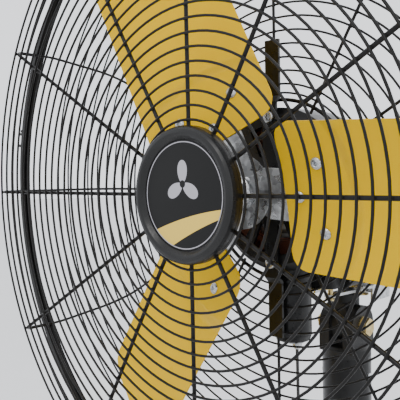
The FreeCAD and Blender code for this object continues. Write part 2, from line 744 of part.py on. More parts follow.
def make_strap():
    """A flat strap, stepped forwards over the motor's face, that carries the rear guard."""
    high = "rear_face - rear_wire - 2 * rear_rib_wire - 2 * fit_gap"
    low = "motor_front - fit_gap"
    thick = "3"
    step = "motor_radius + 6"
    arms = []
    for side in (1, -1):
        points = [(f"{low}", f"{side} * 24"), (f"{low}", f"{side} * ({step} - 2)"),
                  (f"{high}", f"{side} * ({step} + 4)"), (f"{high}", f"{side} * 152"),
                  (f"{high} - {thick}", f"{side} * 152"),
                  (f"{high} - {thick}", f"{side} * ({step} + 5.5)"),
                  (f"{low} - {thick}", f"{side} * ({step} - 0.5)"), (f"{low} - {thick}", f"{side} * 24")]
        arm = new_body()
        sketch = outline(arm, "YZ_Plane", points, "-8.5")
        pad = arm.newObject("PartDesign::Pad", "Pad")
        pad.Profile = sketch
        bind(pad, Length="17")
        arms.append(arm)
    hoop = turned_on_fan_axis([("24", f"{low} - {thick}"), ("36", f"{low} - {thick}"), ("36", low),
                               ("24", low)])
    holes = [cylinder("2.6", "30", "0", "motor_front - 20", z, ALONG_Y) for z in ("74", "-74")]
    on_head(cut(fuse(hoop, *arms), *holes), "guard_strap")
    screws = []
    for z in ("74", "-74"):
        shank = cylinder("2.5", "10", "0", f"{low} - {thick} - 1", z, ALONG_Y)
        head = cone("4.2", "6", "3.4", "0", f"{low} - {thick} - 3.4 - fit_gap", z, ALONG_Y)
        screws.append(fuse(shank, head))
    case_screws.extend(screws)


# ---------------------------------------------------------------- motor

def make_motor():
    inner = "motor_radius - shell_wall"
    split = "(motor_front + 43)"
    seat = "bearing_radius + fit_gap"
    front = turned_on_fan_axis([("shaft_radius + 2", "motor_front - 18"), ("19", "motor_front - 18"),
                                ("23", "motor_front - 15"), ("23.5", "motor_front"),
                                ("motor_radius - 8", "motor_front"), ("motor_radius", "motor_front + 8"),
                                ("motor_radius", split), (inner, split), (inner, "motor_front + 9"),
                                ("motor_radius - 9.5", "motor_front + shell_wall"),
                                ("20.5", "motor_front + shell_wall"), ("20.5", "motor_front - 3"),
                                (seat, "motor_front - 3"), (seat, "motor_front - 15"),
                                ("shaft_radius + 2", "motor_front - 15")])
    tapped = [cylinder("2.55", "20", "0", "motor_front - 8", z, ALONG_Y) for z in ("74", "-74")]
    vents = []
    for turn in range(12):
        upright = Rotation(Vector(0, 1, 0), -15 - 30 * turn).multiply(Rotation(Vector(1, 0, 0), 90))
        wedge = slab([("36", "-5.5"), ("66", "-10.5"), ("66", "10.5"), ("36", "5.5")], "-30", "30")
        wedge.Placement = FreeCAD.Placement(Vector(0, value("motor_front"), 0), upright)
        wedge.setExpression("Placement.Base.y", bound("motor_front"))
        vents.append(wedge)
    on_head(cut(front, *tapped, *vents), "motor_front_bell")

    rear = turned_on_fan_axis([(inner, f"{split} + fit_gap"), ("motor_radius", f"{split} + fit_gap"),
                               ("motor_radius", "motor_rear - 14"), ("motor_radius - 13", "motor_rear"),
                               ("shaft_radius + 1", "motor_rear"),
                               ("shaft_radius + 1", "motor_rear - 2.5"),
                               (seat, "motor_rear - 2.5"), (seat, "motor_rear - 14"),
                               ("20", "motor_rear - 14"),
                               ("20", "motor_rear - shell_wall"),
                               ("motor_radius - 15.5", "motor_rear - shell_wall"),
                               (inner, "motor_rear - 15")])
    slots = []
    for turn in range(12):
        slot = box("34", "8", "5", "motor_radius - 24", "motor_rear - 24", "-2.5")
        swung = Rotation(Vector(0, 1, 0), 15 + 30 * turn)
        slot.Placement = FreeCAD.Placement(swung.multVec(slot.Placement.Base), swung)
        for axis in "xyz":
            slot.setExpression(f"Placement.Base.{axis}", None)
        slots.append(slot)
    on_head(cut(rear, *slots), "motor_rear_bell")

    core_outer = f"{inner} - running_gap"
    bore = "rotor_core_radius + air_gap"
    core = turned_on_fan_axis([(bore, "core_front"), (core_outer, "core_front"),
                               (core_outer, "core_rear - 4"),
                               (f"{core_outer} - 4", "core_rear"), (bore, "core_rear")])
    on_head(core, "stator_core")
    coils = []
    for face, reach in (("core_front - fit_gap", "-13"), ("core_rear + fit_gap", "10")):
        end = f"{face} + ({reach})"
        shoulder = f"{face} + 0.85 * ({reach})"
        coils.append(turned_on_fan_axis([("50", face), ("50", shoulder), ("54", end), ("66", end),
                                         ("70", shoulder), ("70", face)]))
    on_head(group(*coils), "stator_windings")

    bearings = []
    for start in ("motor_front - 14", "motor_rear - 13"):
        bearings.append(turned_on_fan_axis([("shaft_radius + fit_gap", start), ("bearing_radius", start),
                                            ("bearing_radius", f"{start} + bearing_width"),
                                            ("shaft_radius + fit_gap", f"{start} + bearing_width")]))
    on_head(group(*bearings), "motor_bearings")


# ---------------------------------------------------------------- rotor

def blade_rotation(turn):
    """Radius along local X, width along local Y, the front face along local Z."""
    lean = Rotation(Vector(1, 0, 0), 90 + value("blade_pitch"))
    return Rotation(Vector(0, -1, 0), value("rotor_turn") + 120 * turn).multiply(lean)


def on_blade(thing, turn, x="0", y="0", z="0"):
    """Places a thing drawn in the blade's own frame."""
    place(thing, x, y, z, thing.Placement.Rotation)
    holder = group(thing)
    holder.Placement = FreeCAD.Placement(Vector(0, value("blade_plane"), 0), blade_rotation(turn))
    holder.setExpression("Placement.Base.y", bound("blade_plane"))
    return holder


RIVET_SPOTS = [("rivet_inner", "0"), ("rivet_outer", "rivet_spread"), ("rivet_outer", "-rivet_spread")]


def rivet_holes(turn):
    return [on_blade(cylinder("rivet_radius + fit_gap", "40"), turn, x, y, "-20") for x, y in RIVET_SPOTS]


def curved_sheet(points, near, far, turn):
    """An outline cut from a sheet that is bowed across its width: near and far are its faces' radii."""
    blank = slab(points, "-25", "25")
    outer = cylinder(far, "400", "0", "0", "camber_radius", ALONG_X)
    inner = cylinder(near, "400", "0", "0", "camber_radius", ALONG_X)
    return on_blade(common(blank, cut(outer, inner)), turn)


def make_rotor():
    tip_chord = "blade_tip * 0.9"
    side = "blade_half_width"
    root_corner = [("0", "17"), ("1.3", "10.5"), ("5", "5"), ("10.5", "1.3"), ("17", "0")]
    tip_corner = [(tip_chord, "0"), ("blade_tip - 18", "3"), ("blade_tip - 10", "12"),
                  ("blade_tip - 4", "28")]
    edge = [(f"blade_root + {out}", f"{side} - {inwards}") for out, inwards in root_corner]
    edge += [(out, f"{side} - {inwards}") for out, inwards in tip_corner] + [("blade_tip", "16")]
    planform = [(out, f"-({across})") for out, across in edge] + edge[::-1]
    for turn in range(3):
        sheet_piece = curved_sheet(planform, "camber_radius", "camber_radius + blade_thick", turn)
        on_head(cut(sheet_piece, *rivet_holes(turn)), f"blade_{turn + 1}")

    arm_low = "camber_radius + blade_thick + fit_gap"
    arms = []
    for turn in range(3):
        waist = "web_radius - 4"
        points = [("8", "-14"), ("hub_radius + 4", "-18"), (waist, "-arm_half_width"),
                  ("rivet_inner - 12", "-arm_half_width"), ("rivet_outer - 12", "-arm_half_width - 14"),
                  ("arm_tip", "-arm_half_width - 14"), ("arm_tip", "arm_half_width + 14"),
                  ("rivet_outer - 12", "arm_half_width + 14"), ("rivet_inner - 12", "arm_half_width"),
                  (waist, "arm_half_width"), ("hub_radius + 4", "18"), ("8", "14")]
        arms.append(cut(curved_sheet(points, arm_low, f"{arm_low} + arm_thick", turn),
                        *rivet_holes(turn)))
    hub = turned_on_fan_axis([("0", "blade_plane - 8"), ("hub_radius - 3", "blade_plane - 8"),
                              ("hub_radius", "blade_plane - 5"), ("hub_radius", "blade_plane + 26"),
                              ("0", "blade_plane + 26")])
    web = cylinder("web_radius", "arm_thick", "0", "blade_plane + 0.5", "0", ALONG_Y)
    bore = cylinder("shaft_radius + fit_gap", "80", "0", "blade_plane - 20", "0", ALONG_Y)
    screw_y = "blade_plane + 17"
    tapped = cylinder("3.05", "40", "0", screw_y, "0", ALONG_X)
    on_head(cut(fuse(hub, web, *arms), bore, tapped), "blade_spider")
    screw = fuse(cylinder("3", "hub_radius - shaft_radius - 1", "shaft_radius + 0.4", screw_y, "0",
                          ALONG_X),
                 box("6", "8", "8", "hub_radius + 1", f"{screw_y} - 4", "-4"),
                 cylinder("3", "4", "hub_radius - 2", screw_y, "0", ALONG_X))
    on_head(screw, "hub_set_screw")

    rivets = []
    for turn in range(3):
        for x, y in RIVET_SPOTS:
            rise = f"camber_radius - sqrt(camber_radius^2 - ({y})^2)"
            grip = f"{rise} - blade_thick - fit_gap - arm_thick"
            shank = cylinder("rivet_radius", "blade_thick + arm_thick + 3", "0", "0", "-1")
            front_head = cone("5.6", "3.4", "2.2", "0", "0", "blade_thick + arm_thick + 0.55")
            rear_head = cone("3.4", "5.0", "1.6", "0", "0", "-2.1")
            rivets.append(on_blade(fuse(shank, front_head, rear_head), turn, x, y, grip))
    on_head(group(*rivets), "blade_rivets")

    worm_start = "spindle_y - 14"
    shaft = turned_on_fan_axis([("0", "shaft_nose"), ("shaft_radius - 1", "shaft_nose"),
                                ("shaft_radius", "shaft_nose + 1"), ("shaft_radius", f"{worm_start} - 1"),
                                ("spindle_radius", f"{worm_start} - 1"),
                                ("spindle_radius", "spindle_y + 20"),
                                ("0", "spindle_y + 20")])
    on_head(shaft, "motor_shaft")
    worm = turned_on_fan_axis([("spindle_radius + fit_gap", worm_start), ("worm_radius", worm_start),
                               ("worm_radius", "spindle_y + 14"),
                               ("spindle_radius + fit_gap", "spindle_y + 14")])
    on_head(worm, "worm")
    core = turned_on_fan_axis([("shaft_radius + fit_gap", "core_front"), ("26", "core_front"),
                               ("30", "core_front - 5"),
                               ("rotor_core_radius - 4", "core_front - 5"),
                               ("rotor_core_radius", "core_front"),
                               ("rotor_core_radius", "core_rear"),
                               ("rotor_core_radius - 4", "core_rear + 5"),
                               ("30", "core_rear + 5"), ("26", "core_rear"),
                               ("shaft_radius + fit_gap", "core_rear")])
    on_head(core, "rotor_core")


# ---------------------------------------------------------------- gearbox

CRANK_TEETH = 25
PINION_TEETH = 10
WHEEL_TEETH = 20


def box_outline(inset):
    """The gear housing's front view, with its top corners cut, drawn smaller by the inset."""
    side = f"(box_half_width - {inset})"
    top = f"(box_top - {inset})"
    low = f"-(box_drop - {inset})"
    slope = f"(14 - 0.414 * {inset})"
    return [(f"-{side}", low), (side, low), (side, f"{top} - {slope}"), (f"{side} - {slope}", top),
            (f"-{side} + {slope}", top), (f"-{side}", f"{top} - {slope}")]


def nose_outline(inset):
    return rectangle(f"-nose_half_width + {inset}", f"nose_half_width - {inset}", f"-box_drop + {inset}",
                     f"-nose_top_drop - {inset}")


def cover_screw_spots():
    return [(x, z) for x in ("-box_half_width + 7", "box_half_width - 7")
            for z in ("-box_drop + 7", "box_top - 20")]


def make_gear_housing():
    front = "motor_rear + fit_gap"
    outer = slab(box_outline("0"), front, "box_rear", "XZ_Plane")
    outer = soften(outer, "5", lies_along(Vector(0, 1, 0)))
    room = slab(box_outline("box_wall"), f"{front} + box_wall", "box_rear + 10", "XZ_Plane")
    nose = slab(nose_outline("0"), "nose_front", f"{front} + 2", "XZ_Plane")
    nose_edge = value("nose_front") + 1
    nose = soften(nose, "9",
                  lambda edge: lies_along(Vector(0, 0, 1))(edge) and edge.CenterOfMass.y < nose_edge)
    passage = slab(nose_outline("box_wall"), "nose_front + box_wall", f"{front} + box_wall + 5",
                   "XZ_Plane")
    socket = cylinder("pin_radius + 6", "42", "0", "setback", "-box_drop")
    stem_boss = cylinder("spindle_radius + 4", "12", "spindle_x", "spindle_y", "box_top - 10")
    posts = [cylinder("4.5", "26", x, "box_rear - 26", z, ALONG_Y) for x, z in cover_screw_spots()]
    post_bores = [cylinder("1.9 + fit_gap", "26", x, "box_rear - 16", z, ALONG_Y)
                  for x, z in cover_screw_spots()]
    pin_bore = cylinder("pin_radius + fit_gap", "40.2", "0", "setback", "-box_drop - 2")
    crank_bore = cylinder("spindle_radius + 1 + fit_gap", "20", "0", "crank_y", "-box_drop - 5")
    stem_bore = cylinder("spindle_radius + fit_gap", "40", "spindle_x", "spindle_y", "box_top - 20")
    shaft_bore = cylinder("worm_radius + 1.5", "20", "0", f"{front} - 5", "0", ALONG_Y)
    shell = fuse(cut(outer, room), nose, socket, stem_boss, *posts)
    on_head(cut(shell, passage, pin_bore, crank_bore, stem_bore, shaft_bore, *post_bores), "gear_housing")

    cover = slab(box_outline("0"), "box_rear + fit_gap", "box_rear + 3", "XZ_Plane")
    cover = soften(cover, "5", lies_along(Vector(0, 1, 0)))
    holes = [cylinder("2.1", "20", x, "box_rear - 5", z, ALONG_Y) for x, z in cover_screw_spots()]
    port = cylinder("gland_radius + fit_gap", "20", "-gland_side", "box_rear - 5", "-gland_drop", ALONG_Y)
    on_head(cut(cover, port, *holes), "gear_cover")
    for x, z in cover_screw_spots():
        shank = cylinder("1.9", "16", x, "box_rear - 12", z, ALONG_Y)
        head = cone("4", "2.6", "2.4", x, "box_rear + 3 + fit_gap", z, ALONG_Y)
        case_screws.append(fuse(shank, head))
    on_head(group(*case_screws), "case_screws")

    gland = turned_on_fan_axis([("2.6", "-8"), ("gland_radius", "-8"), ("gland_radius", "3.1"),
                                ("gland_radius + 3", "3.1"), ("gland_radius + 3", "8"),
                                ("gland_radius", "10"),
                                ("gland_radius - 1.6", "26"), ("2.6", "26")])
    keep(place(gland, "-gland_side", "box_rear - setback", "axis_height - gland_drop"), "cord_gland")
    capacitor = box("24", "46", "34", "-box_half_width + box_wall + fit_gap",
                    "motor_rear + box_wall + 12", "-44")
    on_head(group(capacitor), "run_capacitor")


def make_gears():
    mesh = math.degrees(math.atan2(value("spindle_y - crank_y"), value("spindle_x")))
    upright = Vector(0, 0, 1)
    gear_low = "-box_drop + box_wall + 2.5"

    wheel = place(toothed("wheel_radius / 1.0825", WHEEL_TEETH, "8"), "spindle_x", "spindle_y", "-4")
    boss = cylinder("spindle_radius + 3", "12", "spindle_x", "spindle_y", "-6")
    bore = cylinder("spindle_radius + fit_gap", "40", "spindle_x", "spindle_y", "-20")
    on_head(cut(fuse(wheel, boss), bore), "worm_wheel")

    pinion = place(toothed("pinion_radius", PINION_TEETH, "8"), "spindle_x", "spindle_y", gear_low,
                   Rotation(upright, mesh + 180 + 180 / PINION_TEETH))
    stem = cylinder("spindle_radius", f"box_top + 16 - ({gear_low})", "spindle_x", "spindle_y", gear_low)
    on_head(fuse(pinion, stem), "clutch_spindle")

    knob = place(turned([("spindle_radius + fit_gap", "0"), ("clutch_radius - 2", "0"),
                         ("clutch_radius - 3", "5"),
                         ("clutch_radius - 3", "9"), ("clutch_radius", "13"), ("clutch_radius", "18"),
                         ("clutch_radius - 2", "20"), ("0", "20"), ("0", "14"),
                         ("spindle_radius + fit_gap", "14")]),
                 "spindle_x", "spindle_y", "box_top + 2.6")
    on_head(group(knob), "clutch_knob")

    gear = place(toothed("crank_gear_radius", CRANK_TEETH, "7"), "0", "crank_y", gear_low,
                 Rotation(upright, mesh))
    spindle = cylinder("spindle_radius + 1", f"({gear_low}) + box_drop + 6", "0", "crank_y",
                       "-box_drop - 2")
    disc = cylinder("crank_arm + 4", "3.5", "0", "crank_y", "-box_drop - 4.5")
    pin = cylinder("stud_radius", "13.5", "crank_arm", "crank_y", "-box_drop - 17")
    pin_head = cylinder("stud_radius * 2", "1.6", "crank_arm", "crank_y", "-box_drop - 17")
    on_head(fuse(gear, spindle, disc, pin, pin_head), "crank")

    reach_x = "stud_offset - crank_arm"
    reach_y = "setback - crank_y"
    length = f"sqrt(({reach_x})^2 + ({reach_y})^2)"
    lean = math.degrees(math.atan2(value(reach_y), value(reach_x)))
    rod_low = "-box_drop - 13.5"
    bar = box(length, "8", "3", "crank_arm", "crank_y", rod_low, Rotation(upright, lean))
    bars = place(group(bar), f"4 * sin({lean:.4f})", f"-4 * cos({lean:.4f})", "0")
    eyes = [cylinder("stud_radius + 4", "3", "crank_arm", "crank_y", rod_low),
            cylinder("stud_radius + 5.8", "3", "stud_offset", "setback", rod_low)]
    bores = [cylinder("stud_radius + fit_gap", "9", "crank_arm", "crank_y", f"{rod_low} - 3"),
             cylinder("stud_radius + 2.8", "9", "stud_offset", "setback", f"{rod_low} - 3")]
    on_head(cut(fuse(bars, *eyes), *bores), "link_rod")


# ---------------------------------------------------------------- switch and pull cord

def make_switch():
    low = "-cup_drop"
    cup = place(turned([("0", low), ("cup_radius - 7", low), ("cup_radius - 2", f"{low} + 2.5"),
                        ("cup_radius", f"{low} + 8"), ("cup_radius", "-70"), ("cup_radius - 2", "-70"),
                        ("cup_radius - 2", f"{low} + 9"), ("cup_radius - 4", f"{low} + 4"),
                        ("cup_radius - 7.5", f"{low} + 2"), ("0", f"{low} + 2")]), "0", "cup_y", "0")
    saddle = cylinder("motor_radius + fit_gap", "120", "0", "cup_y - 60", "0", ALONG_Y)
    nozzle_hole = cylinder("5.1", "10", "0", "nozzle_y", f"{low} - 3")
    on_head(cut(cup, saddle, nozzle_hole), "switch_housing")

    block = cylinder("cup_radius - 6", "26", "0", "cup_y", f"{low} + 4.4")
    nozzle = cylinder("5", "14", "0", "nozzle_y", f"{low} - 7")
    bore = cylinder("cord_radius + 0.4", "30", "0", "nozzle_y", f"{low} - 9")
    nut = cut(hexagon("14", "3", "0", "nozzle_y", f"{low} - 3 - fit_gap"),
              cylinder("5 + fit_gap", "9", "0", "nozzle_y", f"{low} - 6"))
    on_head(group(cut(fuse(block, nozzle), bore), nut), "pull_switch")

    stem_low = f"{low} - 10.2"
    stem = fuse(cylinder("cord_radius + 0.1", "28", "0", "nozzle_y", stem_low),
                cylinder("cord_radius + 1.3", "3", "0", "nozzle_y", stem_low))
    on_head(stem, "pull_stem")


def cord_route():
    """The cord hangs almost plumb from the stem; the last run is pulled straight by its knob."""
    x = 0.0
    y = value("nozzle_y - setback")
    top = value("axis_height - cup_drop - 11.1")
    length = value("cord_length")
    return [Vector(x, y, top), Vector(x + 0.3, y + 0.5, top - 0.16 * length),
            Vector(x, y + 0.9, top - 0.5 * length), Vector(x + 0.2, y + 0.4, top - length)]


def rounded_path(points):
    """Straight runs joined by tangent arcs, each as large as its two runs allow."""
    edges = []
    start = points[0]
    for before, corner, after in zip(points, points[1:], points[2:]):
        arrive = (corner - before).normalize()
        leave = (after - corner).normalize()
        half_turn = arrive.getAngle(leave) / 2
        back = 0.45 * min((corner - before).Length, (after - corner).Length)
        print("cord bend radius", round(back / math.tan(half_turn)))
        first = corner - arrive * back
        last = corner + leave * back
        inward = (leave - arrive).normalize()
        sagitta = back * (1 / math.cos(half_turn) - 1) / math.tan(half_turn) * math.cos(half_turn)
        middle = corner + inward * sagitta
        edges.append(Part.LineSegment(start, first).toShape())
        edges.append(Part.Arc(first, middle, last).toShape())
        start = last
    edges.append(Part.LineSegment(start, points[-1]).toShape())
    return Part.Wire(edges)


def make_pull_cord():
    points = cord_route()
    path = rounded_path(points)
    section = Part.Wire(Part.Circle(points[0], points[1] - points[0], value("cord_radius")).toShape())
    cord = doc.addObject("Part::Feature", "Cord")
    cord.Shape = path.makePipeShell([section], True, False)
    print("cord length", round(path.Length, 1), "volume ratio",
          round(cord.Shape.Volume / (math.pi * value("cord_radius") ** 2 * path.Length), 4))
    keep(cord, "pull_cord")
    end = points[-1]
    knob = turned([("0", "-24"), ("5", "-24"), ("6.5", "-22.5"), ("6.5", "-20"), ("3.6", "-6"),
                   ("3.2", "-1"),
                   ("2.4", "-0.1"), ("0", "-0.1")])
    knob.Placement = FreeCAD.Placement(end, Rotation())
    keep(knob, "pull_knob")


def main():
    fill_sheet()
    make_stand()
    make_lock_knob()
    make_mast()
    make_yoke()
    make_front_guard()
    make_rear_guard()
    make_band()
    make_badge()
    make_strap()
    make_motor()
    make_rotor()
    make_gear_housing()
    make_gears()
    make_switch()
    make_pull_cord()
    check_and_write()


def check_and_write():
    doc.recompute()
    bad = [thing.Label for thing in doc.Objects if {"Invalid", "Error"} & set(thing.State)]
    for node in nodes:
        if node.Shape.isNull() or not node.Shape.isValid() or not node.Shape.Solids:
            bad.append(node.Label)
    if bad:
        raise SystemExit(f"failed objects: {bad}")
    os.makedirs("parts", exist_ok=True)
    for node in nodes:
        node.Shape.exportStep(f"parts/{node.Label}.step")
    print(len(nodes), "nodes written")


main()
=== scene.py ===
import json
import math

import bmesh
import bpy
import numpy as np
from mathutils import Matrix, Vector


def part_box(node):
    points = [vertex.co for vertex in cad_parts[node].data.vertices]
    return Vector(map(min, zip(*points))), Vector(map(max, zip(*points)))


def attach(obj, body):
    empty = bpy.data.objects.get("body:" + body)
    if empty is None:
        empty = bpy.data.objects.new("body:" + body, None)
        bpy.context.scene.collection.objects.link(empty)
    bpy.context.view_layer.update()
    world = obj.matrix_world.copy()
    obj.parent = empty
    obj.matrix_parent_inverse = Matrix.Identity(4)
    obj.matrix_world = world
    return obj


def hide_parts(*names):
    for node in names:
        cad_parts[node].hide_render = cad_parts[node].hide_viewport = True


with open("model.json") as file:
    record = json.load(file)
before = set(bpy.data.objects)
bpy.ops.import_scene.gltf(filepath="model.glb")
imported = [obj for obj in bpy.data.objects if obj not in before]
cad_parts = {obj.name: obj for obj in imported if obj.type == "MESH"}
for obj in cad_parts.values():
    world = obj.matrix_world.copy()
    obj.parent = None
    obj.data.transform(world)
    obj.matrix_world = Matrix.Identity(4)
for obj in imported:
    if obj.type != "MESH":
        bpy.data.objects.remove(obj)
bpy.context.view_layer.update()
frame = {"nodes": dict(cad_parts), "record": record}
MM = 0.001
TURN = 2 * math.pi
RIBS = 12


# ---------------------------------------------------------------- places taken from the frame

def centre(node):
    low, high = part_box(node)
    return (low + high) / 2


FAN = centre("badge_disc")
FAN_AXIS = Vector((FAN.x, 0, FAN.z))
FRONT_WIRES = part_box("front_guard_rings")
REAR_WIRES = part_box("rear_guard_rings")


def merged_copy(node):
    """A CAD node's mesh as one closed bmesh."""
    shape = bmesh.new()
    shape.from_mesh(frame["nodes"][node].data)
    bmesh.ops.remove_doubles(shape, verts=shape.verts, dist=0.002 * MM)
    return shape


def rounded_middle(spots):
    """The mean of some points, for putting pieces in a steady order."""
    return tuple(round(value, 5) for value in sum(spots, Vector()) / len(spots))


def loose_pieces(shape):
    """The points of each separate piece of a bmesh."""
    left = set(shape.verts)
    found = []
    while left:
        reached = {left.pop()}
        edge_of_search = list(reached)
        while edge_of_search:
            vertex = edge_of_search.pop()
            for edge in vertex.link_edges:
                other = edge.other_vert(vertex)
                if other in left:
                    left.remove(other)
                    reached.add(other)
                    edge_of_search.append(other)
        found.append([vertex.co.copy() for vertex in reached])
    return sorted(found, key=rounded_middle)


# ---------------------------------------------------------------- finishes

class Finish:
    """A material of one Principled shader, with patterns that read Object coordinates in metres."""

    def __init__(self, name, **constants):
        self.material = bpy.data.materials.new(name)
        self.material.use_nodes = True
        self.tree = self.material.node_tree
        self.shader = self.tree.nodes["Principled BSDF"]
        self.place = self.node("ShaderNodeTexCoord").outputs["Object"]
        for words, value in constants.items():
            self.shader.inputs[words.replace("_", " ")].default_value = value

    def node(self, kind, inputs=None, **settings):
        made = self.tree.nodes.new(kind)
        for words, value in settings.items():
            setattr(made, words, value)
        for key, value in (inputs or {}).items():
            self.put(made.inputs[key], value)
        return made

    def put(self, socket, value):
        if isinstance(value, bpy.types.NodeSocket):
            self.tree.links.new(value, socket)
        else:
            socket.default_value = value

    def math(self, operation, *values):
        inputs = dict(enumerate(values))
        return self.node("ShaderNodeMath", inputs, operation=operation).outputs[0]

    def vector_math(self, operation, *values):
        inputs = dict(enumerate(values))
        return self.node("ShaderNodeVectorMath", inputs, operation=operation)

    def waves(self, distance, length):
        """A wave from 0 to 1 that repeats every length."""
        phase = self.math("MULTIPLY", distance, TURN / length)
        return self.math("MULTIPLY_ADD", self.math("SINE", phase), 0.5, 0.5)

    def noise(self, cells_per_metre, detail=3.0, place=None):
        inputs = {"Vector": place or self.place, "Scale": cells_per_metre, "Detail": detail}
        return self.node("ShaderNodeTexNoise", inputs).outputs["Fac"]

    def spread(self, value, low, high, start=0.3, end=0.7):
        inputs = {"Value": value, "From Min": start, "From Max": end, "To Min": low, "To Max": high}
        return self.node("ShaderNodeMapRange", inputs).outputs["Result"]

    def step(self, value, start, end):
        inputs = {"Value": value, "From Min": start, "From Max": end}
        return self.node("ShaderNodeMapRange", inputs, interpolation_type="SMOOTHSTEP").outputs["Result"]

    def mix(self, share, first, second):
        mixer = self.node("ShaderNodeMix", {"Factor": share}, data_type="RGBA")
        self.put(mixer.inputs["A"], first)
        self.put(mixer.inputs["B"], second)
        return mixer.outputs["Result"]

    def colour(self, value):
        self.put(self.shader.inputs["Base Color"], value)

    def roughness(self, value):
        self.put(self.shader.inputs["Roughness"], value)

    def bump(self, height, depth_mm, under=None):
        inputs = {"Height": height, "Distance": depth_mm * MM, "Strength": 1.0}
        if under:
            inputs["Normal"] = under
        made = self.node("ShaderNodeBump", inputs).outputs["Normal"]
        self.put(self.shader.inputs["Normal"], made)
        return made

    def from_axis(self, middle, keep):
        """The offset and distance from a line through middle; keep holds 1 for the directions across it."""
        moved = self.vector_math("SUBTRACT", self.place, tuple(middle)).outputs[0]
        flat = self.vector_math("MULTIPLY", moved, keep).outputs[0]
        return flat, self.vector_math("LENGTH", flat).outputs["Value"]


def grey(value, warm=0.0):
    return (value * (1 + warm), value, value * (1 - warm), 1)


def wire_coating():
    made = Finish("wire_coating", Coat_Weight=0.05, Coat_Roughness=0.22, Specular_IOR_Level=0.18)
    made.colour(made.mix(made.noise(60), grey(0.0025, 0.08), grey(0.006, 0.1)))
    made.roughness(made.spread(made.noise(240), 0.30, 0.46))
    made.bump(made.noise(2600, 2.0), 0.03)
    return made.material


def blade_enamel():
    """Glossy yellow paint with orange peel, over a step pressed round the blade's root."""
    made = Finish("blade_enamel", Coat_Roughness=0.12, Specular_IOR_Level=0.02)
    cloud = made.noise(9, 4.0)
    paint = made.mix(made.spread(cloud, 0, 1), (0.74, 0.44, 0.0, 1), (0.81, 0.50, 0.0, 1))
    dust = made.step(made.noise(420, 5.0), 0.68, 0.78)
    made.colour(made.mix(made.math("MULTIPLY", dust, 0.2), paint, (0.60, 0.40, 0.03, 1)))
    made.roughness(made.spread(made.noise(35, 4.0), 0.26, 0.42))
    _, radius = made.from_axis(FAN_AXIS, (1, 0, 1))
    pressed = made.bump(made.step(radius, 0.121, 0.133), 3.6)
    off_step = made.math("ABSOLUTE", made.math("SUBTRACT", radius, 0.127))
    made.put(made.shader.inputs["Coat Weight"], made.spread(off_step, 0.35, 0.05, 0.004, 0.008))
    made.bump(made.noise(330, 2.0), 0.05, pressed)
    return made.material


def spangled_zinc():
    """Hot-dip zinc: crystals that each catch the light differently, under dull smears."""
    made = Finish("spangled_zinc", Metallic=0.9)
    sway = (0.006, 0.006, 0.006)
    bend = made.node("ShaderNodeTexNoise", {"Vector": made.place, "Scale": 160.0, "Detail": 2.0})
    shift = made.vector_math("MULTIPLY", bend.outputs["Color"], sway).outputs[0]
    place = made.vector_math("ADD", made.place, shift).outputs[0]
    cells = made.node("ShaderNodeTexVoronoi", {"Vector": place, "Scale": 150.0}).outputs["Color"]
    tone = made.node("ShaderNodeSeparateColor", {0: cells})
    crystal = made.mix(tone.outputs[0], grey(0.34, -0.02), grey(0.72, -0.01))
    smear = made.step(made.noise(45, 5.0), 0.42, 0.66)
    made.colour(made.mix(made.math("MULTIPLY", smear, 0.75), crystal, grey(0.10, 0.03)))
    made.roughness(made.spread(tone.outputs[1], 0.20, 0.46, 0, 1))
    made.bump(made.noise(500, 3.0), 0.04)
    return made.material


def plated(name, low, high, rough):
    """Electroplated fasteners and pressings, a little cloudy."""
    made = Finish(name, Metallic=0.95)
    made.colour(made.mix(made.spread(made.noise(230, 4.0), 0, 1), low, high))
    made.roughness(made.spread(made.noise(700, 3.0), rough - 0.07, rough + 0.10))
    made.bump(made.noise(1500, 2.0), 0.03)
    return made.material


def turned_metal(name, low, high, middle, keep, lines_per_metre):
    """Bar turned or ground on a lathe: fine rings about its own axis."""
    made = Finish(name, Metallic=1.0, Anisotropic=0.4)
    _, radius = made.from_axis(middle, keep)
    axis = tuple(1 - share for share in keep)
    along = made.vector_math("DOT_PRODUCT", made.place, axis).outputs["Value"]
    line = made.math("MULTIPLY", made.math("ADD", along, radius), lines_per_metre)
    rings = made.noise(1.0, 2.0, made.node("ShaderNodeCombineXYZ", {0: line}).outputs[0])
    made.colour(made.mix(made.spread(made.noise(120), 0, 1), low, high))
    made.roughness(made.spread(rings, 0.20, 0.38))
    made.bump(rings, 0.02)
    return made.material


def painted_black(name, dark, light, rough, grain, depth_mm, coat=0.1):
    """Black paint: its tone, its gloss and the grain of what is under it."""
    made = Finish(name, Coat_Weight=coat, Coat_Roughness=0.2, Specular_IOR_Level=0.25)
    made.colour(made.mix(made.spread(made.noise(22, 4.0), 0, 1), grey(dark), grey(light)))
    scuff = made.step(made.noise(95, 6.0), 0.60, 0.74)
    made.roughness(made.math("ADD", made.spread(made.noise(140, 3.0), rough - 0.07, rough + 0.07),
                             made.math("MULTIPLY", scuff, 0.12)))
    made.bump(made.noise(grain, 3.0), depth_mm)
    return made.material


def moulded_plastic(name, dark, light, rough, grain, depth_mm):
    made = Finish(name, Specular_IOR_Level=0.3)
    made.colour(made.mix(made.spread(made.noise(40, 3.0), 0, 1), dark, light))
    made.roughness(made.spread(made.noise(300, 3.0), rough - 0.05, rough + 0.08))
    made.bump(made.noise(grain, 2.0), depth_mm)
    return made.material


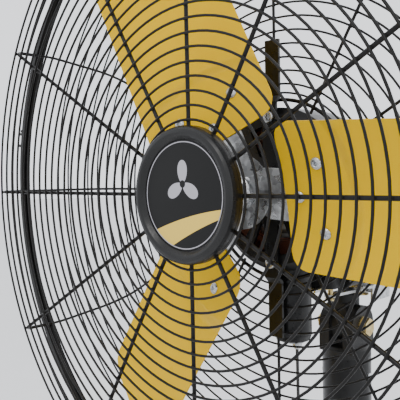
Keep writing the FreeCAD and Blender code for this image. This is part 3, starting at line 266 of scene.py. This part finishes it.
def badge_print():
    """A charcoal label: a silver hairline ring, a silver three-lobed rotor sign and a curved gold band."""
    made = Finish("badge_print", Coat_Weight=0.1, Coat_Roughness=0.18, Specular_IOR_Level=0.15)
    flat, radius = made.from_axis(FAN_AXIS, (1, 0, 1))
    axes = made.node("ShaderNodeSeparateXYZ", {0: flat})
    x = axes.outputs["X"]
    z = axes.outputs["Z"]

    def edge(rise, slope, curve):
        bent = made.math("MULTIPLY_ADD", made.math("MULTIPLY", x, x), curve, rise)
        return made.math("SUBTRACT", z, made.math("MULTIPLY_ADD", x, slope, bent))

    under_top = made.step(edge(-0.0202, 0.27, -1.6), 0.0001, -0.0001)
    over_low = made.step(edge(-0.0376, 0.50, -1.8), -0.0001, 0.0001)
    inside = made.step(radius, 0.0464, 0.0462)
    band = made.math("MULTIPLY", made.math("MULTIPLY", under_top, over_low), inside)
    off_line = made.math("ABSOLUTE", made.math("SUBTRACT", radius, 0.0468))
    line = made.step(off_line, 0.0006, 0.0003)

    high = made.math("SUBTRACT", z, 0.010)
    angle = made.math("ARCTAN2", x, high)
    three_waves = made.math("COSINE", made.math("MULTIPLY", angle, 3.0))
    reach = made.math("MULTIPLY_ADD", three_waves, 0.0095, 0.0115)
    squares = made.math("ADD", made.math("MULTIPLY", x, x), made.math("MULTIPLY", high, high))
    out = made.math("SQRT", squares)
    lobes = made.step(made.math("SUBTRACT", out, reach), 0.0001, -0.0001)
    bore = made.step(out, 0.0032, 0.0035)
    sign = made.math("MULTIPLY", lobes, bore)

    base = made.mix(made.noise(1600, 2.0), grey(0.003), grey(0.006))
    silver = made.mix(made.math("MAXIMUM", line, sign), base, (0.36, 0.35, 0.38, 1))
    made.colour(made.mix(band, silver, (0.66, 0.46, 0.085, 1)))
    made.roughness(made.spread(made.noise(900), 0.32, 0.44))
    made.bump(made.math("MAXIMUM", made.math("MAXIMUM", line, sign), band), 0.02)
    return made.material


def wound_copper():
    """Varnished copper wire laid round and round."""
    made = Finish("wound_copper", Metallic=0.55, Coat_Weight=0.6, Coat_Roughness=0.25)
    _, radius = made.from_axis(FAN_AXIS, (1, 0, 1))
    depth = made.node("ShaderNodeSeparateXYZ", {0: made.place}).outputs["Y"]
    wander = made.math("MULTIPLY", made.noise(30), 0.004)
    strand = made.waves(made.math("ADD", made.math("ADD", radius, depth), wander), 1.1 * MM)
    # The colour follows the strand wave and is near black in its troughs, where the bump is low: painted
    # shade in the grooves between the wires.
    made.colour(made.mix(strand, (0.03, 0.007, 0.004, 1), (0.22, 0.062, 0.026, 1)))
    made.roughness(made.spread(made.noise(400), 0.30, 0.50))
    made.bump(strand, 0.35)
    return made.material


def stacked_steel():
    """Thin electrical steel sheets, seen on edge."""
    made = Finish("stacked_steel", Metallic=0.8)
    depth = made.node("ShaderNodeSeparateXYZ", {0: made.place}).outputs["Y"]
    sheet = made.waves(depth, 0.8 * MM)
    tone = made.mix(sheet, grey(0.10, 0.05), grey(0.34, 0.02))
    rust = made.math("MULTIPLY", made.step(made.noise(70, 5.0), 0.5, 0.7), 0.5)
    made.colour(made.mix(rust, tone, (0.12, 0.07, 0.04, 1)))
    made.roughness(made.spread(made.noise(300), 0.38, 0.58))
    made.bump(sheet, 0.15)
    return made.material


def cord_braid():
    """Black braid: two sets of strands that cross."""
    made = Finish("cord_braid", Sheen_Weight=0.3)
    axes = made.node("ShaderNodeSeparateXYZ", {0: made.place})
    crossing = []
    for lean in (1, -1):
        sway = made.math("MULTIPLY", made.math("ADD", axes.outputs["X"], axes.outputs["Y"]), lean * 1.2)
        phase = made.math("MULTIPLY", made.math("ADD", axes.outputs["Z"], sway), TURN / 0.0016)
        crossing.append(made.math("SINE", phase))
    weave = made.math("MULTIPLY_ADD", made.math("MAXIMUM", *crossing), 0.5, 0.5)
    # The colour follows the weave and is darker where its bump is low: painted shade between the strands.
    made.colour(made.mix(weave, grey(0.006), grey(0.030)))
    made.roughness(made.spread(made.noise(800), 0.6, 0.85))
    made.bump(weave, 0.25)
    return made.material


def studio_floor():
    made = Finish("studio_floor")
    made.colour(made.mix(made.noise(3), grey(0.80), grey(0.83)))
    made.roughness(made.spread(made.noise(12), 0.75, 0.85))
    return made.material


FINISHES = {
    "satin_black_wire": wire_coating(),
    "blade_yellow": blade_enamel(),
    "galvanised": spangled_zinc(),
    "zinc_bright": plated("bright_zinc", grey(0.42, -0.03), grey(0.66, -0.02), 0.27),
    "zinc_yellow": plated("passivated_zinc", (0.50, 0.34, 0.13, 1), (0.66, 0.58, 0.30, 1), 0.28),
    "bright_steel": turned_metal("ground_steel", grey(0.42), grey(0.58), FAN_AXIS, (1, 0, 1), 4000.0),
    "black_enamel": painted_black("black_enamel", 0.003, 0.006, 0.33, 900, 0.05, 0.06),
    "black_cast": painted_black("black_casting", 0.007, 0.014, 0.48, 700, 0.30, 0.05),
    "black_plastic": moulded_plastic("black_plastic", grey(0.006), grey(0.010), 0.30, 2200, 0.03),
    "label_print": badge_print(),
    "black_rubber": moulded_plastic("black_rubber", grey(0.012), grey(0.030), 0.72, 1100, 0.12),
    "nylon": moulded_plastic("natural_nylon", (0.62, 0.60, 0.52, 1), (0.70, 0.68, 0.61, 1),
                             0.42, 1500, 0.03),
    "copper_winding": wound_copper(),
    "laminations": stacked_steel(),
    "cast_aluminium": plated("cast_aluminium", grey(0.40), grey(0.55), 0.42),
    "bronze": turned_metal("bronze", (0.45, 0.27, 0.11, 1), (0.60, 0.38, 0.17, 1),
                           FAN_AXIS, (1, 0, 1), 3000.0),
    "cord_black": cord_braid(),
}
SLOT_OF = {entry["node"]: entry["material_slot"] for entry in frame["record"]["subparts"]}
for name, node in frame["nodes"].items():
    node.data.materials.clear()
    node.data.materials.append(FINISHES[SLOT_OF[name]])


# ---------------------------------------------------------------- making pieces

def finished(shape, name, body, slot, crease=35):
    """A bmesh as an object that rides on a body, with edges sharper than crease degrees left sharp."""
    bmesh.ops.recalc_face_normals(shape, faces=shape.faces)
    mesh = bpy.data.meshes.new(name)
    shape.to_mesh(mesh)
    shape.free()
    mesh.materials.append(FINISHES[slot])
    mesh.shade_smooth()
    mesh.set_sharp_from_angle(angle=math.radians(crease))
    piece = bpy.data.objects.new(name, mesh)
    bpy.context.scene.collection.objects.link(piece)
    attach(piece, body)
    return piece


def round_edges(piece, width, segments, sharpest):
    """A bevel on the edges that turn by more than sharpest degrees."""
    round_off = piece.modifiers.new("round_off", "BEVEL")
    round_off.width = width
    round_off.segments = segments
    round_off.limit_method = "ANGLE"
    round_off.angle_limit = math.radians(sharpest)
    return round_off


def rounded_copy(node, body, width_mm):
    """A CAD node with its hard edges rounded."""
    shape = merged_copy(node)
    bmesh.ops.dissolve_limit(shape, angle_limit=math.radians(1), verts=shape.verts, edges=shape.edges,
                             delimit={"NORMAL"})
    piece = finished(shape, f"{node}_rounded", body, SLOT_OF[node])
    round_edges(piece, width_mm * MM, 3, 32).harden_normals = True
    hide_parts(node)
    return piece


def aimed(direction, spot):
    """The transform that takes +Z to direction and the origin to spot."""
    turned = Vector((0, 0, 1)).rotation_difference(direction).to_matrix().to_4x4()
    return Matrix.Translation(spot) @ turned


def add_in_place(whole, part, transform):
    """Moves a finished piece to where it belongs and adds it to the others."""
    bmesh.ops.transform(part, matrix=transform, verts=part.verts)
    carrier = bpy.data.meshes.new("carrier")
    part.to_mesh(carrier)
    part.free()
    whole.from_mesh(carrier)
    bpy.data.meshes.remove(carrier)


def spun(whole, points, segments, transform):
    """Adds the solid that (radius, height) points make when they turn about Z."""
    shape = bmesh.new()
    corners = [bmesh.ops.create_vert(shape, co=(radius, 0, height))["vert"][0] for radius, height in points]
    edges = [shape.edges.new(pair) for pair in zip(corners, corners[1:])]
    bmesh.ops.spin(shape, geom=corners + edges, axis=(0, 0, 1), cent=(0, 0, 0), dvec=(0, 0, 0),
                   angle=TURN, steps=segments, use_merge=True, use_duplicate=False)
    bmesh.ops.remove_doubles(shape, verts=shape.verts, dist=0.001 * MM)
    bmesh.ops.recalc_face_normals(shape, faces=shape.faces)
    add_in_place(whole, shape, transform)


HEAD_HEIGHT = 0.62


def cross_head(whole, spot, direction, radius):
    """A pan head with a cross recess, its seat at spot; every size is a share of its radius."""
    shape = bmesh.new()
    height = HEAD_HEIGHT * radius
    arm = 0.60 * radius
    half = 0.13 * radius
    deep = 0.34 * radius
    narrowing = 0.7
    corners = []
    for quarter in range(4):
        turned = Matrix.Rotation(quarter * TURN / 4, 3, "Z")
        for flat in ((arm, -half), (arm, half), (half, half)):
            corners.append(shape.verts.new(turned @ Vector((flat[0], flat[1], height))))
    recess = [shape.edges.new((corner, corners[(index + 1) % 12])) for index, corner in enumerate(corners)]
    rim = bmesh.ops.create_circle(shape, cap_ends=False, radius=0.74 * radius, segments=24,
                                  matrix=Matrix.Translation((0, 0, height)))["verts"]
    ring = list({edge for vertex in rim for edge in vertex.link_edges})
    bmesh.ops.bridge_loops(shape, edges=recess + ring)
    for share, drop in ((0.90, 0.08), (0.98, 0.24), (1.0, 0.42), (1.0, height / radius)):
        grown = bmesh.ops.extrude_edge_only(shape, edges=ring)["geom"]
        ring = [part for part in grown if isinstance(part, bmesh.types.BMEdge)]
        for vertex in [part for part in grown if isinstance(part, bmesh.types.BMVert)]:
            out = Vector((vertex.co.x, vertex.co.y, 0)).normalized() * radius * share
            vertex.co = (out.x, out.y, height - drop * radius)
    bmesh.ops.edgeloop_fill(shape, edges=ring)
    grown = bmesh.ops.extrude_edge_only(shape, edges=recess)["geom"]
    for vertex in [part for part in grown if isinstance(part, bmesh.types.BMVert)]:
        vertex.co = (vertex.co.x * narrowing, vertex.co.y * narrowing, height - deep)
    bmesh.ops.edgeloop_fill(shape, edges=[part for part in grown if isinstance(part, bmesh.types.BMEdge)])
    bmesh.ops.recalc_face_normals(shape, faces=shape.faces)
    add_in_place(whole, shape, aimed(direction, spot))


def head_of(spots):
    """Where a screw's head sits, which way it looks and how wide it is, from the screw's own points."""
    low = Vector([min(spot[axis] for spot in spots) for axis in range(3)])
    high = Vector([max(spot[axis] for spot in spots) for axis in range(3)])
    size = high - low
    along = max(range(3), key=lambda axis: size[axis])
    across = [axis for axis in range(3) if axis != along]
    middle = (low + high) / 2
    end_share = 0.30
    reach = {}
    for sign, end in ((-1, low[along]), (1, high[along])):
        near = [spot - middle for spot in spots if abs(spot[along] - end) < end_share * size[along]]
        reach[sign] = max(math.hypot(spot[across[0]], spot[across[1]]) for spot in near)
    sign = max(reach, key=reach.get)
    direction = Vector((0, 0, 0))
    direction[along] = sign
    tip = middle.copy()
    tip[along] = high[along] if sign > 0 else low[along]
    return tip, direction, reach[sign]


def make_screws(node, body):
    """Cross-recessed heads in place of a node's plain screws."""
    source = merged_copy(node)
    screws = bmesh.new()
    for spots in loose_pieces(source):
        tip, direction, radius = head_of(spots)
        cross_head(screws, tip - direction * HEAD_HEIGHT * radius, direction, radius)
    source.free()
    piece = finished(screws, f"{node}_cross_heads", body, SLOT_OF[node], 40)
    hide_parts(node)


def turning_axis(spots):
    """A turned piece's middle, its axis and how far it reaches both ways along it."""
    points = np.array([tuple(spot) for spot in spots])
    middle = points.mean(axis=0)
    values, directions = np.linalg.eigh(np.cov((points - middle).T))
    odd = 0 if values[1] - values[0] > values[2] - values[1] else 2
    axis = Vector(directions[:, odd])
    if axis.y > 0:
        axis.negate()
    reach = (points - middle) @ np.array(axis)
    return Vector(middle), axis, float(reach.max()), float(reach.min())


def make_rivets():
    """Half-hollow rivets: a domed front head with a punched eye, and a rolled rear head."""
    source = merged_copy("blade_rivets")
    rivets = bmesh.new()
    shank = [(2.9, 0), (2.9, -1.2), (0, -1.2)]
    front = [(0, -0.7), (1.6, -0.6), (1.9, 1.4), (2.5, 1.95), (3.4, 1.8), (4.6, 1.25), (5.4, 0.5), (5.6, 0)]
    rear = [(0, 0.9), (1.6, 0.95), (2.4, 1.55), (3.6, 1.5), (4.6, 0.8), (4.9, 0)]
    for spots in loose_pieces(source):
        middle, axis, high, low = turning_axis(spots)
        for head, direction, reach in ((front, axis, high), (rear, -axis, -low)):
            top = max(height for _, height in head) * MM
            seat = middle + direction * (reach - top)
            outline = [(radius * MM, height * MM) for radius, height in head + shank]
            spun(rivets, outline, 24, aimed(direction, seat))
    source.free()
    piece = finished(rivets, "rivet_heads", "rotor", "zinc_bright", 50)
    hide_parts("blade_rivets")


def make_badge():
    """The moulded badge: a dished face inside a broad rounded rim."""
    low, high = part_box("badge_disc")
    radius = (high.x - low.x) / 2
    depth = high.y - low.y
    label_low, label_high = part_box("badge_label")
    well = (label_high.x - label_low.x) / 2 + 0.3 * MM
    floor = label_high.y - low.y
    dish = [(0, depth - floor), (well, depth - floor), (well, depth - floor + 1.2 * MM)]
    rim = [(8.5, 0.6), (6.2, 0), (3.2, 0.5), (1.0, 2.6), (0, 6.0)]
    profile = dish + [(radius - inwards * MM, depth - down * MM) for inwards, down in rim]
    profile += [(radius, 0.6 * MM), (radius - 0.6 * MM, 0), (0, 0)]
    badge = bmesh.new()
    spun(badge, profile, 128, aimed(Vector((0, -1, 0)), Vector((FAN.x, high.y, FAN.z))))
    piece = finished(badge, "badge_moulding", "head", "black_plastic", 50)
    round_edges(piece, 1.6 * MM, 4, 12)
    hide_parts("badge_disc")


def make_welds():
    """The small fused beads where each ring crosses each rib."""
    beads = bmesh.new()
    for guard, depth in (("front_guard", FRONT_WIRES[1].y), ("rear_guard", REAR_WIRES[0].y)):
        source = merged_copy(f"{guard}_rings")
        for spots in loose_pieces(source):
            width, height = (max(spot[axis] for spot in spots) - min(spot[axis] for spot in spots)
                             for axis in (0, 2))
            reach = (width + height) / 4 - 1.2 * MM
            for index in range(RIBS):
                angle = index * TURN / RIBS
                spot = Vector((FAN.x + reach * math.cos(angle), depth, FAN.z + reach * math.sin(angle)))
                turned = Matrix.Rotation(-angle, 4, "Y")
                size = Matrix.Diagonal((1.9 * MM, 1.0 * MM, 2.3 * MM, 1))
                bmesh.ops.create_icosphere(beads, subdivisions=1, radius=1,
                                           matrix=Matrix.Translation(spot) @ turned @ size)
        source.free()
    finished(beads, "weld_beads", "head", "satin_black_wire", 180)


# ---------------------------------------------------------------- pull cord

def make_cord(knob):
    """The cord that hangs from the pull switch down to its knob; the knob argument is not used."""
    low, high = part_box("pull_cord")
    x = (low.x + high.x) / 2 - 0.1 * MM
    back = (low.y + high.y) / 2
    route = [(0, -0.4, high.z), (0.3, 0.1, high.z - 41.6 * MM),
             (0, 0.5, high.z - 130 * MM), (0.2, 0, low.z)]
    curve = bpy.data.curves.new("pull_cord_braid", "CURVE")
    curve.dimensions = "3D"
    curve.bevel_depth = 1.7 * MM
    curve.bevel_resolution = 6
    curve.use_fill_caps = True
    line = curve.splines.new("NURBS")
    line.points.add(len(route) - 1)
    for point, (aside, behind, height) in zip(line.points, route):
        point.co = (x + aside * MM, back + behind * MM, height, 1)
    line.order_u = 3
    line.use_endpoint_u = True
    curve.materials.append(FINISHES["cord_black"])
    cord = bpy.data.objects.new("pull_cord_braid", curve)
    bpy.context.scene.collection.objects.link(cord)
    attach(cord, "pull_cord")
    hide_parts("pull_cord")


# ---------------------------------------------------------------- camera, light and floor

def make_camera():
    lens = bpy.data.cameras.new("camera")
    lens.lens = 55.8
    lens.sensor_width = 36
    lens.clip_start = 0.01
    camera = bpy.data.objects.new("camera", lens)
    bpy.context.scene.collection.objects.link(camera)
    camera.location = (0.3871, -0.6452, 1.1708)
    right = Vector((0.7181, 0.6956, -0.0211))
    up = Vector((-0.017, 0.0479, 0.9987))
    back = Vector((0.6957, -0.7168, 0.0463))
    camera.rotation_euler = Matrix((right, up, back)).transposed().to_euler()
    bpy.context.scene.camera = camera


def make_lamp(name, spot, target, size, watts, tint=(1, 1, 1)):
    light = bpy.data.lights.new(name, "AREA")
    light.shape = "RECTANGLE"
    light.size = size[0]
    light.size_y = size[1]
    light.energy = watts
    light.color = tint
    lamp = bpy.data.objects.new(name, light)
    bpy.context.scene.collection.objects.link(lamp)
    lamp.location = spot
    lamp.rotation_euler = (Vector(target) - Vector(spot)).to_track_quat("-Z", "Y").to_euler()


def make_studio():
    floor = bmesh.new()
    bmesh.ops.create_circle(floor, cap_ends=True, radius=30, segments=96)
    mesh = bpy.data.meshes.new("studio_floor")
    floor.to_mesh(mesh)
    floor.free()
    mesh.materials.append(studio_floor())
    ground = bpy.data.objects.new("studio_floor", mesh)
    bpy.context.scene.collection.objects.link(ground)
    world = bpy.data.worlds.new("studio")
    world.use_nodes = True
    sky = world.node_tree.nodes["Background"]
    sky.inputs["Color"].default_value = (0.86, 0.88, 0.92, 1)
    sky.inputs["Strength"].default_value = 1.8
    bpy.context.scene.world = world
    make_lamp("key", (0.5, -1.9, 3.1), FAN, (1.0, 1.0), 24, (1, 0.98, 0.95))
    make_lamp("fill", (2.4, -1.2, 1.6), FAN, (1.0, 1.6), 8)
    make_lamp("rim", (0.8, 2.4, 2.4), FAN, (1.4, 1.0), 14)


make_camera()
make_studio()
make_cord(rounded_copy("pull_knob", "pull_cord", 0.8))
make_badge()
make_rivets()
make_welds()
make_screws("case_screws", "head")
make_screws("neck_screws", "mast")
for node, body, width_mm in (
        ("neck_casting", "mast", 2.0), ("tilt_block", "yoke", 1.2), ("height_collar", "stand", 1.5),
        ("height_lock_knob", "lock_knob", 1.5), ("clutch_knob", "clutch_knob", 1.0),
        ("tilt_bolt", "mast", 0.6), ("tilt_nut", "mast", 0.5), ("hub_set_screw", "rotor", 0.6),
        ("swivel_plate", "yoke", 0.5), ("base_feet", "stand", 1.0)):
    rounded_copy(node, body, width_mm)
